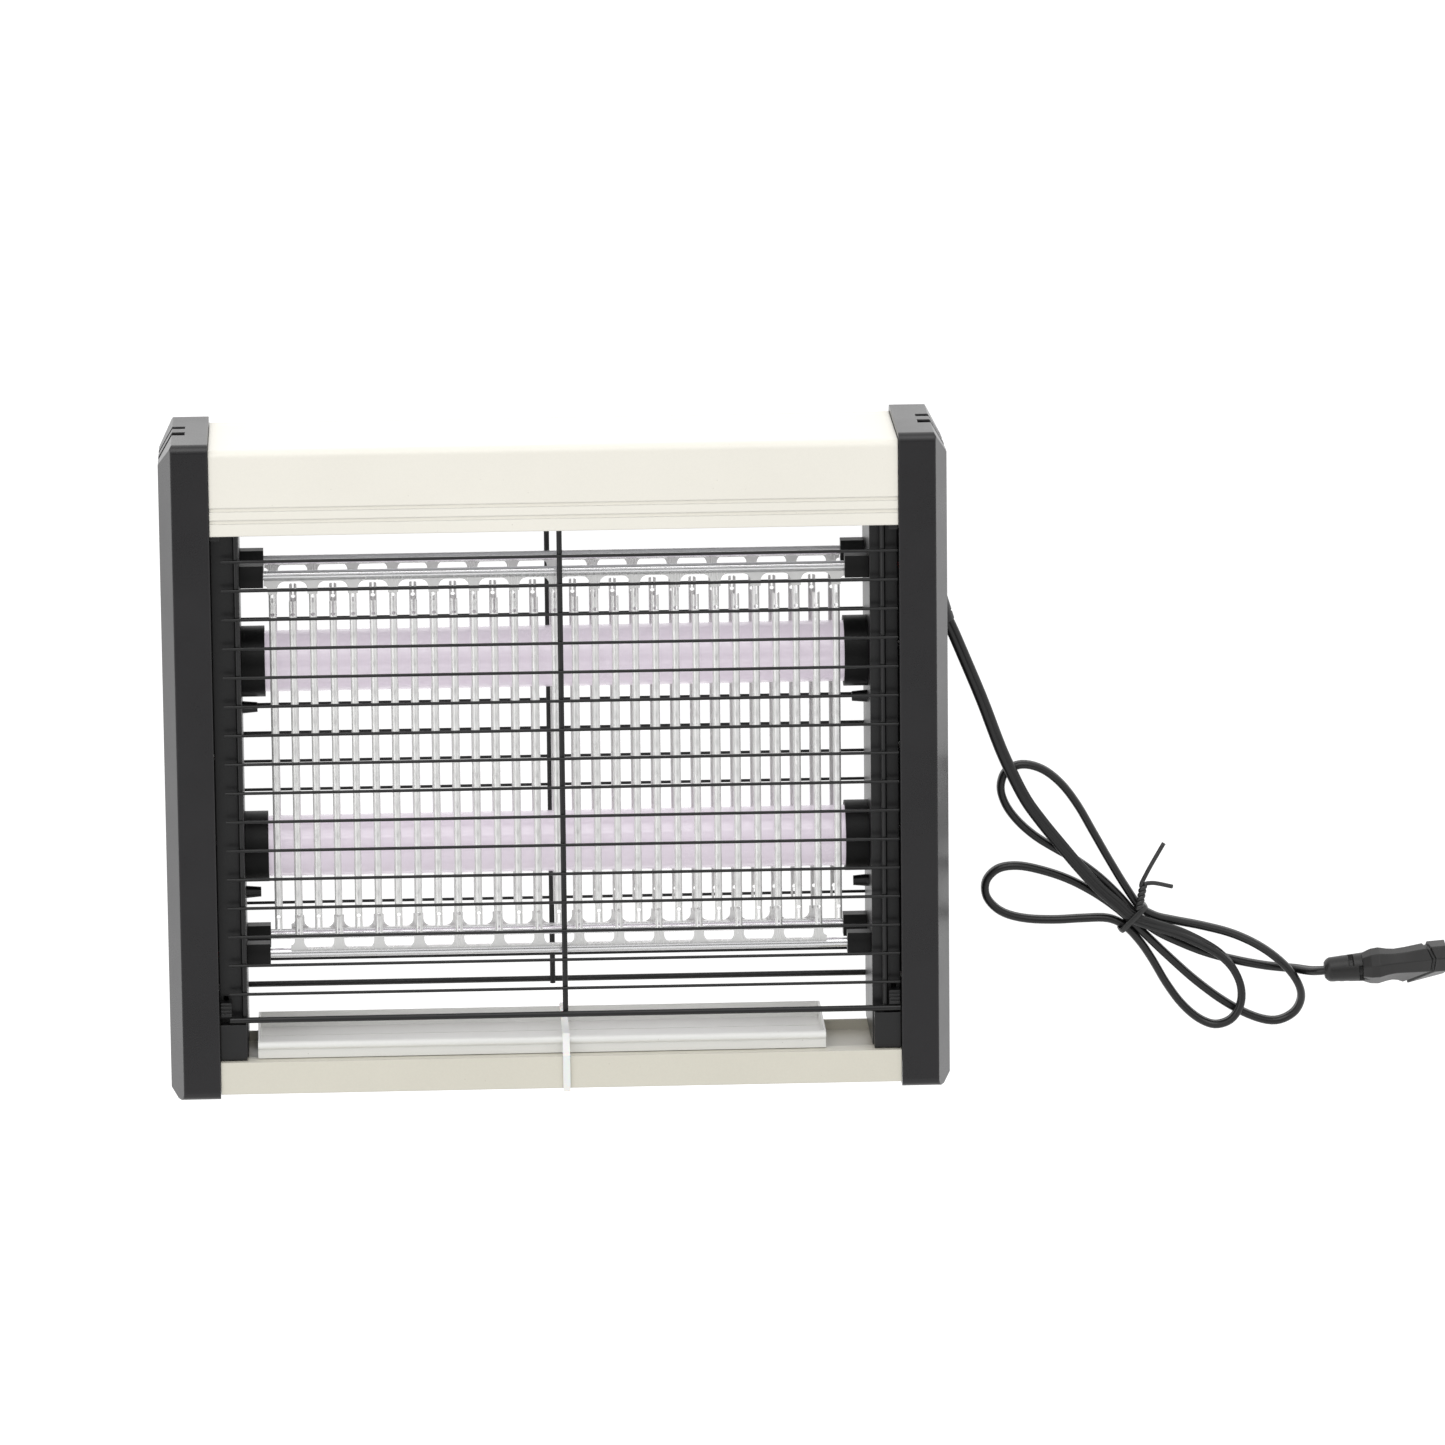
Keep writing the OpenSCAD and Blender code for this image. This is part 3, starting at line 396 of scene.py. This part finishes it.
# The route's points are the CAD model's own, in millimetres
EXIT = (165, 54, 13.6)
PLUG_START = (331, -106.2, 17)
CORD_ROUTE = (
    EXIT, (168.8, 46.7, 12.7), (173.5, 35.6, 11.8), (182.6, 13.1, 10), (190, -7.2, 8.4), (194.6, -18, 7.4),
    (201.3, -31.4, 7.1), (208.2, -41.3, 7.1), (216.3, -51.6, 7.1), (223.6, -60.6, 7.1), (232.3, -70.4, 7.3),
    (239.8, -77.2, 8), (247, -83.6, 8.5), (256, -87.2, 8.6), (266, -90.6, 8), (275.8, -95.2, 8),
    (284.2, -100.4, 8.4), (290, -107, 8.4), (293.4, -115, 8.3), (293.2, -123, 8.2), (289.2, -129.4, 7.8),
    (282.6, -132, 6), (275.8, -129.8, 4), (268.6, -123.6, 2.8), (261.8, -114.2, 2.7), (255.4, -103, 2.7),
    (249.8, -94.6, 3.6), (243.3, -87.7, 4.1), (236.6, -84.9, 3.2), (226.4, -84.8, 2.7), (213.1, -85.2, 2.7),
    (200, -84.2, 2.7), (190.4, -80.9, 2.7), (184.6, -74.6, 2.7), (184.4, -67.6, 2.7), (189.4, -62.4, 2.7),
    (197.6, -61.2, 2.7), (208, -63.3, 2.7), (219.4, -67.4, 2.7), (229.6, -72.9, 2.7), (238.4, -78.9, 3.4),
    (245.8, -85.2, 4.1), (253.6, -93.2, 3.4), (263, -102.6, 2.7), (274.4, -113.2, 2.7), (287.2, -123, 2.7),
    (299.4, -129.6, 2.7), (309, -131.6, 2.7), (316.6, -128.2, 2.9), (319.6, -121, 6), (317.6, -113, 9.8),
    (312, -105.4, 10.2), (302.6, -98.2, 7.4), (290.8, -92.8, 4.2), (277.6, -89.2, 2.8), (264, -86.2, 3),
    (256.9, -84.2, 3.6), (250.7, -80.3, 4.1), (244.4, -71.4, 3.3), (237.4, -59.6, 2.7), (230.2, -46.6, 2.7),
    (223.6, -34.8, 2.7), (216.6, -25.4, 2.7), (208.6, -19, 2.7), (200, -16.8, 2.7), (193.2, -19.6, 2.7),
    (190.8, -26.4, 2.7), (192.8, -34, 2.7), (198, -41.4, 2.7), (205.4, -48.2, 2.7), (214, -53.8, 2.7),
    (223.4, -59.4, 2.7), (232.8, -66.6, 2.9), (241, -74.6, 3.5), (248.2, -82.8, 4.1), (256.4, -90.2, 3.3),
    (266.2, -95.6, 2.7), (279, -101, 2.7), (292.4, -104.8, 2.7), (304, -107.2, 2.7), (312.6, -108.3, 2.8),
    (317, -108.4, 4.6), (322.6, -108, 10.6), (326.8, -107.1, 15), PLUG_START,
)
CORD_W = 5.4
CORD_T = 3.4
CORD_CLEAR = 0.02  # least height above the floor
CORD_SIDES = 28
ROLL_FROM = 12  # route points between which the cord rolls from flat onto its edge
ROLL_TO = 17
STEPS = 5
UP = Vector((0, 0, 1))


def twin_profile(width, thick, sides):
    """Section of a flat twin cord: two round cores side by side with a shallow groove between them."""
    r = thick / 2
    offset = width / 2 - r
    profile = []
    for k in range(sides):
        a = 2 * math.pi * (k + 0.5) / sides
        c = abs(math.cos(a)) * offset
        reach = c + math.sqrt(r * r - (offset * math.sin(a)) ** 2)
        profile.append((reach * math.cos(a), reach * math.sin(a)))
    return profile


def cord_side(i, along):
    """Direction of the cord's wide side: flat as far as the tie, on edge from the first loop on."""
    share = min(max((i / STEPS - ROLL_FROM) / (ROLL_TO - ROLL_FROM), 0), 1)
    a = math.pi / 2 * (1 - share)
    level = along.cross(UP).normalized()
    return level * math.sin(a) + level.cross(along) * math.cos(a)


cord_path = smooth_path(CORD_ROUTE, STEPS)
cord_rings = sweep(cord_path, twin_profile(CORD_W, CORD_T, CORD_SIDES), cord_side)
for ring in cord_rings:  # lift what would sink into the floor
    lift = CORD_CLEAR - min(p.z for p in ring)
    if lift > 0:
        for p in ring:
            p.z += lift
cord = mesh_piece("cord_visual", lambda bm: skin(bm, in_metres(cord_rings)), looks["cord_rubber"])
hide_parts("power_cord")
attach(cord, "housing")


# ---- twist tie ----

TIE_AT = Vector((247, -84, 0))
TIE_TURN = 45
TIE_HALF = 7.65
TIE_LOW = 0.75
TIE_HIGH = 10.9
TIE_ROUND = 2.8
TIE_KNOT = Vector((249.4, -79.8, 10.2))
TIE_TWIST_END = Vector((251.4, -69.8, 8.6))
TIE_ENDS = (((254.1, -62.3, 7.8), (260.6, -52, 5)), ((256.2, -68.8, 8), (264.2, -71.2, 5)))
TIE_RIBBON = ((-1.2, -0.3), (-1.2, 0.3), (-0.75, 0.35), (-0.55, 0.62), (0, 0.72), (0.55, 0.62), (0.75, 0.35),
              (1.2, 0.3), (1.2, -0.3), (0.75, -0.35), (0, -0.5), (-0.75, -0.35))
STRAND_WIDE = 1.9
STRAND_THICK = 1.7
STRAND_SIDES = 12
TWIST_RADIUS = 0.85
TWIST_STEPS = 30
TWIST_DEGREES = 30  # turn between one step of the twist and the next
CORNER_STEPS = 6
END_STEPS = 8
NUDGE = Vector((0.001, 0, 0))  # gives a strand that runs straight up a side to take


def band_path():
    """Closed rounded rectangle round the bundle of cord, in the tie's own plane."""
    turn_z = Matrix.Rotation(math.radians(TIE_TURN), 3, "Z")
    corners = ((1, 1, 0), (-1, 1, 90), (-1, 0, 180), (1, 0, 270))
    path = []
    for side, top, start in corners:
        x = side * (TIE_HALF - TIE_ROUND)
        z = TIE_HIGH - TIE_ROUND if top else TIE_LOW + TIE_ROUND
        for step in range(CORNER_STEPS + 1):
            a = math.radians(start + 90 * step / CORNER_STEPS)
            corner = Vector((x + TIE_ROUND * math.cos(a), 0, z + TIE_ROUND * math.sin(a)))
            path.append(TIE_AT + turn_z @ corner)
    return path, turn_z @ Vector((0, 1, 0))


def build_tie(bm):
    path, across = band_path()
    skin(bm, in_metres(sweep(path, TIE_RIBBON, lambda i, t: across, closed=True)), closed=True)
    axis = (TIE_TWIST_END - TIE_KNOT).normalized()
    first = axis.cross(UP).normalized()
    second = axis.cross(first)
    length = (TIE_TWIST_END - TIE_KNOT).length
    for strand in (0, 1):
        path = []
        for step in range(TWIST_STEPS + 1):
            a = math.radians(strand * 180 + step * TWIST_DEGREES)
            out = (first * math.cos(a) + second * math.sin(a)) * TWIST_RADIUS
            path.append(TIE_KNOT + axis * (length * step / TWIST_STEPS) + out)
        bend, tip = (Vector(p) for p in TIE_ENDS[strand])
        path += smooth_path((path[-1] + axis * 1.2, bend, tip), END_STEPS)
        profile = oval(STRAND_WIDE, STRAND_THICK, STRAND_SIDES)
        skin(bm, in_metres(sweep(path, profile, lambda i, t: t.cross(UP) + NUDGE)))


tie = mesh_piece("cord_tie_visual", build_tie, looks["tie_wire"])
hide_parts("cord_tie")
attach(tie, "housing")


# ---- plug ----

PLUG_TURN = 3.8
PLUG_LEAN = 65


def turned(x, y, z):
    """Turn about X, then Y, then Z, in degrees."""
    return (Matrix.Rotation(math.radians(z), 4, "Z") @ Matrix.Rotation(math.radians(y), 4, "Y")
            @ Matrix.Rotation(math.radians(x), 4, "X"))


at_plug = (Matrix.Translation(Vector(PLUG_START)) @ turned(0, 0, PLUG_TURN) @ turned(PLUG_LEAN, 0, 0)
           @ turned(90, 0, 90))


PLUG_CORNERS = ((0.5, -0.2), (0.5, 0.2), (0.3, 0.5), (-0.3, 0.5), (-0.5, 0.2), (-0.5, -0.2), (-0.3, -0.5),
                (0.3, -0.5))


# Height along the plug, width and thickness of its eight-cornered section, and how far the section follows
# the slanted groove
PLUG_STATIONS = (
    (13.6, 15.0, 10.6, 0), (17.2, 20.6, 12.8, 0), (20.6, 23.0, 13.2, 0), (24.2, 22.6, 11.6, 0),
    (27.6, 22.8, 10.9, 0.08), (33.0, 24.6, 11.4, 0.35), (38.0, 27.4, 12.1, 0.7), (42.6, 30.6, 12.7, 1),
    (42.9, 29.2, 11.3, 1), (44.1, 29.4, 11.3, 1), (44.4, 33.6, 13.6, 1), (49.0, 34.0, 13.7, 0),
)
GROOVE_SLANT = (-1.8, 0, -0.8, -11.2, -9.0, -4.0, -3.0, -3.1)
FRONT_PULL = (1, 1, 1, 0.66, 0.7, 1, 1, 1)


def plug_ring(z, w, t, slant):
    """One section of the plug, slanted along the groove; the front face's lower corners are pulled in."""
    ring = []
    for (x, y), drop, pull in zip(PLUG_CORNERS, GROOVE_SLANT, FRONT_PULL):
        if z != PLUG_STATIONS[-1][0]:
            pull = 1
        ring.append(at_plug @ Vector((x * w * pull, y * t * pull, z + slant * drop)) * MM)
    return ring


def build_plug(bm):
    skin(bm, [plug_ring(*station) for station in PLUG_STATIONS])


# Slots of the plug's strain relief: height along the plug, first angle and last angle in degrees
RELIEF_SLOTS = ((8.8, -62, 2), (16.2, -62, 2), (13.2, 12, 82), (2.9, 92, 150), (6.7, 92, 150), (14.6, 96, 150),
                (3.8, 190, 260), (8.8, 200, 270), (12.6, 160, 230))
RELIEF_FROM = -2.5
RELIEF_TO = 18.0
RELIEF_STEPS = 82
RELIEF_SIDES = 60
RELIEF_RADIUS = 5.1
RELIEF_TAPER = 1.3
NOSE_LENGTH = 2.6
NOSE_CUT = 1.7
SLOT_HALF = 1.0
SLOT_DEPTH = 1.9


def in_slot(z, angle):
    """Whether a point of the strain relief's skin lies in one of its slots."""
    return any(abs(z - at) < SLOT_HALF and (first <= angle <= last or first <= angle - 360 <= last)
               for at, first, last in RELIEF_SLOTS)


def build_relief(bm):
    rings = []
    for step in range(RELIEF_STEPS + 1):
        along = (RELIEF_TO - RELIEF_FROM) * step / RELIEF_STEPS
        z = RELIEF_FROM + along
        nose = max(0.0, 1 - along / NOSE_LENGTH)
        out = RELIEF_RADIUS + RELIEF_TAPER * step / RELIEF_STEPS - NOSE_CUT * nose * nose
        ring = []
        for k in range(RELIEF_SIDES):
            angle = 360 * k / RELIEF_SIDES
            r = out - SLOT_DEPTH if in_slot(z, angle) else out
            a = math.radians(angle)
            ring.append(at_plug @ Vector((r * math.cos(a), r * math.sin(a), z)) * MM)
        rings.append(ring)
    skin(bm, rings)


plug = mesh_piece("plug_visual", build_plug, looks["plug_moulding"])
soften = plug.modifiers.new("soften", "BEVEL")
soften.width, soften.segments = 0.0005, 3
soften.limit_method, soften.angle_limit = "ANGLE", math.radians(12)
soften.harden_normals = True
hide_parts("plug_body")
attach(plug, "housing")

relief = mesh_piece("plug_relief_visual", build_relief, looks["plug_moulding"], smooth=False)
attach(relief, "housing")


# ---- transit tie round the tray ----

CUTS = 14
FIRST_CUT = 0.010
CUT_GAP = 0.0045


def build_transit_tie(bm):
    """The CAD mesh cut across at many heights; the tie runs between the housing and the tray."""
    bm.from_mesh(nodes["tray_tie"].data)
    bmesh.ops.remove_doubles(bm, verts=bm.verts, dist=0.00001)
    for step in range(CUTS):
        bmesh.ops.bisect_plane(bm, geom=bm.verts[:] + bm.edges[:] + bm.faces[:],
                               plane_co=(0, 0, FIRST_CUT + step * CUT_GAP), plane_no=(0, 0, 1))


transit_tie = mesh_piece("tray_tie_visual", build_transit_tie, looks["tie_nylon"], smooth=False)
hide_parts("tray_tie")
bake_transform(transit_tie)
